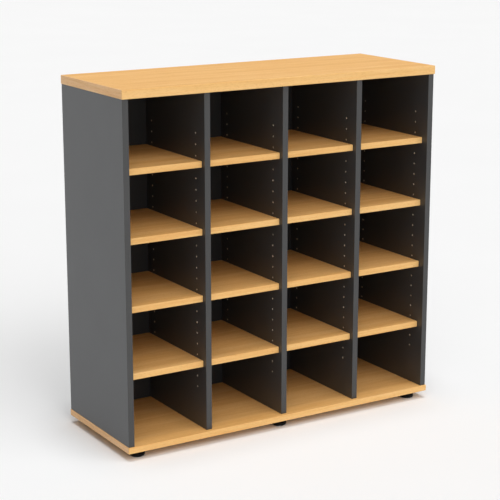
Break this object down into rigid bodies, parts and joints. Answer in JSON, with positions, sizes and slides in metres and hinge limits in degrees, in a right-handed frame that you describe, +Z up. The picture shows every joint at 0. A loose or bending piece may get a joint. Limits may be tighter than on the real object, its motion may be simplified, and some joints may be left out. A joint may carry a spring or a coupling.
{
  "type": "pigeonhole mail sorter",
  "caption": "Open-fronted pigeonhole cabinet of faced boards with loose shelves on pins in drilled rows, a dowelled carcass and screw feet, for sorting mail.",
  "frame": {"origin": "on the floor under the middle of the cabinet's plan outline", "axes": "+Z up, +X to the right of someone facing the open front, +Y to the back, so the open front faces -Y"},
  "size_m": [1.04, 0.38, 1.038],
  "materials": {
    "beech_board": "beech wood-grain melamine on chipboard, satin, with matching edging",
    "charcoal_board": "charcoal melamine on chipboard, matt, with matching edging",
    "beech_dowel": "plain fluted beech, unfinished",
    "black_plastic": "black moulded plastic, matt",
    "zinc_steel": "bright zinc-plated steel"
  },
  "bodies": {
    "cabinet": {"base_panel": "beech_board", "top_panel": "beech_board", "back_panel": "charcoal_board", "left_side_panel": "charcoal_board", "divider_1": "charcoal_board", "divider_2": "charcoal_board", "divider_3": "charcoal_board", "right_side_panel": "charcoal_board", "dowel_top_left_side_panel_front": "beech_dowel", "dowel_base_left_side_panel_front": "beech_dowel", "dowel_top_left_side_panel_rear": "beech_dowel", "dowel_base_left_side_panel_rear": "beech_dowel", "dowel_top_divider_1_front": "beech_dowel", "dowel_base_divider_1_front": "beech_dowel", "dowel_top_divider_1_rear": "beech_dowel", "dowel_base_divider_1_rear": "beech_dowel", "dowel_top_divider_2_front": "beech_dowel", "dowel_base_divider_2_front": "beech_dowel", "dowel_top_divider_2_rear": "beech_dowel", "dowel_base_divider_2_rear": "beech_dowel", "dowel_top_divider_3_front": "beech_dowel", "dowel_base_divider_3_front": "beech_dowel", "dowel_top_divider_3_rear": "beech_dowel", "dowel_base_divider_3_rear": "beech_dowel", "dowel_top_right_side_panel_front": "beech_dowel", "dowel_base_right_side_panel_front": "beech_dowel", "dowel_top_right_side_panel_rear": "beech_dowel", "dowel_base_right_side_panel_rear": "beech_dowel"},
    "shelf_column_1_level_1": {"shelf_column_1_level_1": "beech_board"},
    "shelf_column_1_level_2": {"shelf_column_1_level_2": "beech_board"},
    "shelf_column_1_level_3": {"shelf_column_1_level_3": "beech_board"},
    "shelf_column_1_level_4": {"shelf_column_1_level_4": "beech_board"},
    "shelf_column_2_level_1": {"shelf_column_2_level_1": "beech_board"},
    "shelf_column_2_level_2": {"shelf_column_2_level_2": "beech_board"},
    "shelf_column_2_level_3": {"shelf_column_2_level_3": "beech_board"},
    "shelf_column_2_level_4": {"shelf_column_2_level_4": "beech_board"},
    "shelf_column_3_level_1": {"shelf_column_3_level_1": "beech_board"},
    "shelf_column_3_level_2": {"shelf_column_3_level_2": "beech_board"},
    "shelf_column_3_level_3": {"shelf_column_3_level_3": "beech_board"},
    "shelf_column_3_level_4": {"shelf_column_3_level_4": "beech_board"},
    "shelf_column_4_level_1": {"shelf_column_4_level_1": "beech_board"},
    "shelf_column_4_level_2": {"shelf_column_4_level_2": "beech_board"},
    "shelf_column_4_level_3": {"shelf_column_4_level_3": "beech_board"},
    "shelf_column_4_level_4": {"shelf_column_4_level_4": "beech_board"},
    "foot_pad_front_left": {"foot_pad_front_left": "black_plastic"},
    "foot_stem_front_left": {"foot_stem_front_left": "zinc_steel"},
    "foot_pad_front_middle": {"foot_pad_front_middle": "black_plastic"},
    "foot_stem_front_middle": {"foot_stem_front_middle": "zinc_steel"},
    "foot_pad_front_right": {"foot_pad_front_right": "black_plastic"},
    "foot_stem_front_right": {"foot_stem_front_right": "zinc_steel"},
    "foot_pad_rear_left": {"foot_pad_rear_left": "black_plastic"},
    "foot_stem_rear_left": {"foot_stem_rear_left": "zinc_steel"},
    "foot_pad_rear_middle": {"foot_pad_rear_middle": "black_plastic"},
    "foot_stem_rear_middle": {"foot_stem_rear_middle": "zinc_steel"},
    "foot_pad_rear_right": {"foot_pad_rear_right": "black_plastic"},
    "foot_stem_rear_right": {"foot_stem_rear_right": "zinc_steel"}
  },
  "joints": [
    {"name": "shelf_column_1_level_1_slide", "type": "slide", "parent": "cabinet", "child": "shelf_column_1_level_1", "axis": [0, -1, 0], "range_m": [0, 0.36]},
    {"name": "shelf_column_1_level_2_slide", "type": "slide", "parent": "cabinet", "child": "shelf_column_1_level_2", "axis": [0, -1, 0], "range_m": [0, 0.36]},
    {"name": "shelf_column_1_level_3_slide", "type": "slide", "parent": "cabinet", "child": "shelf_column_1_level_3", "axis": [0, -1, 0], "range_m": [0, 0.36]},
    {"name": "shelf_column_1_level_4_slide", "type": "slide", "parent": "cabinet", "child": "shelf_column_1_level_4", "axis": [0, -1, 0], "range_m": [0, 0.36]},
    {"name": "shelf_column_2_level_1_slide", "type": "slide", "parent": "cabinet", "child": "shelf_column_2_level_1", "axis": [0, -1, 0], "range_m": [0, 0.36]},
    {"name": "shelf_column_2_level_2_slide", "type": "slide", "parent": "cabinet", "child": "shelf_column_2_level_2", "axis": [0, -1, 0], "range_m": [0, 0.36]},
    {"name": "shelf_column_2_level_3_slide", "type": "slide", "parent": "cabinet", "child": "shelf_column_2_level_3", "axis": [0, -1, 0], "range_m": [0, 0.36]},
    {"name": "shelf_column_2_level_4_slide", "type": "slide", "parent": "cabinet", "child": "shelf_column_2_level_4", "axis": [0, -1, 0], "range_m": [0, 0.36]},
    {"name": "shelf_column_3_level_1_slide", "type": "slide", "parent": "cabinet", "child": "shelf_column_3_level_1", "axis": [0, -1, 0], "range_m": [0, 0.36]},
    {"name": "shelf_column_3_level_2_slide", "type": "slide", "parent": "cabinet", "child": "shelf_column_3_level_2", "axis": [0, -1, 0], "range_m": [0, 0.36]},
    {"name": "shelf_column_3_level_3_slide", "type": "slide", "parent": "cabinet", "child": "shelf_column_3_level_3", "axis": [0, -1, 0], "range_m": [0, 0.36]},
    {"name": "shelf_column_3_level_4_slide", "type": "slide", "parent": "cabinet", "child": "shelf_column_3_level_4", "axis": [0, -1, 0], "range_m": [0, 0.36]},
    {"name": "shelf_column_4_level_1_slide", "type": "slide", "parent": "cabinet", "child": "shelf_column_4_level_1", "axis": [0, -1, 0], "range_m": [0, 0.36]},
    {"name": "shelf_column_4_level_2_slide", "type": "slide", "parent": "cabinet", "child": "shelf_column_4_level_2", "axis": [0, -1, 0], "range_m": [0, 0.36]},
    {"name": "shelf_column_4_level_3_slide", "type": "slide", "parent": "cabinet", "child": "shelf_column_4_level_3", "axis": [0, -1, 0], "range_m": [0, 0.36]},
    {"name": "shelf_column_4_level_4_slide", "type": "slide", "parent": "cabinet", "child": "shelf_column_4_level_4", "axis": [0, -1, 0], "range_m": [0, 0.36]},
    {"name": "foot_front_left_height", "type": "slide", "parent": "cabinet", "child": "foot_pad_front_left", "axis": [0, 0, -1], "range_m": [0, 0.008]},
    {"name": "foot_front_left_turn", "type": "hinge", "parent": "foot_pad_front_left", "child": "foot_stem_front_left", "pos_m": [-0.474, -0.15, 0.023], "axis": [0, 0, -1], "range_deg": [0, 2305]},
    {"name": "foot_front_middle_height", "type": "slide", "parent": "cabinet", "child": "foot_pad_front_middle", "axis": [0, 0, -1], "range_m": [0, 0.008]},
    {"name": "foot_front_middle_turn", "type": "hinge", "parent": "foot_pad_front_middle", "child": "foot_stem_front_middle", "pos_m": [0, -0.15, 0.023], "axis": [0, 0, -1], "range_deg": [0, 2305]},
    {"name": "foot_front_right_height", "type": "slide", "parent": "cabinet", "child": "foot_pad_front_right", "axis": [0, 0, -1], "range_m": [0, 0.008]},
    {"name": "foot_front_right_turn", "type": "hinge", "parent": "foot_pad_front_right", "child": "foot_stem_front_right", "pos_m": [0.474, -0.15, 0.023], "axis": [0, 0, -1], "range_deg": [0, 2305]},
    {"name": "foot_rear_left_height", "type": "slide", "parent": "cabinet", "child": "foot_pad_rear_left", "axis": [0, 0, -1], "range_m": [0, 0.008]},
    {"name": "foot_rear_left_turn", "type": "hinge", "parent": "foot_pad_rear_left", "child": "foot_stem_rear_left", "pos_m": [-0.474, 0.135, 0.023], "axis": [0, 0, -1], "range_deg": [0, 2305]},
    {"name": "foot_rear_middle_height", "type": "slide", "parent": "cabinet", "child": "foot_pad_rear_middle", "axis": [0, 0, -1], "range_m": [0, 0.008]},
    {"name": "foot_rear_middle_turn", "type": "hinge", "parent": "foot_pad_rear_middle", "child": "foot_stem_rear_middle", "pos_m": [0, 0.135, 0.023], "axis": [0, 0, -1], "range_deg": [0, 2305]},
    {"name": "foot_rear_right_height", "type": "slide", "parent": "cabinet", "child": "foot_pad_rear_right", "axis": [0, 0, -1], "range_m": [0, 0.008]},
    {"name": "foot_rear_right_turn", "type": "hinge", "parent": "foot_pad_rear_right", "child": "foot_stem_rear_right", "pos_m": [0.474, 0.135, 0.023], "axis": [0, 0, -1], "range_deg": [0, 2305]}
  ],
  "couplings": [
    {"joint": "foot_front_left_turn", "follows": "foot_front_left_height", "rad_per_m": 5026.5},
    {"joint": "foot_front_middle_turn", "follows": "foot_front_middle_height", "rad_per_m": 5026.5},
    {"joint": "foot_front_right_turn", "follows": "foot_front_right_height", "rad_per_m": 5026.5},
    {"joint": "foot_rear_left_turn", "follows": "foot_rear_left_height", "rad_per_m": 5026.5},
    {"joint": "foot_rear_middle_turn", "follows": "foot_rear_middle_height", "rad_per_m": 5026.5},
    {"joint": "foot_rear_right_turn", "follows": "foot_rear_right_height", "rad_per_m": 5026.5}
  ]
}
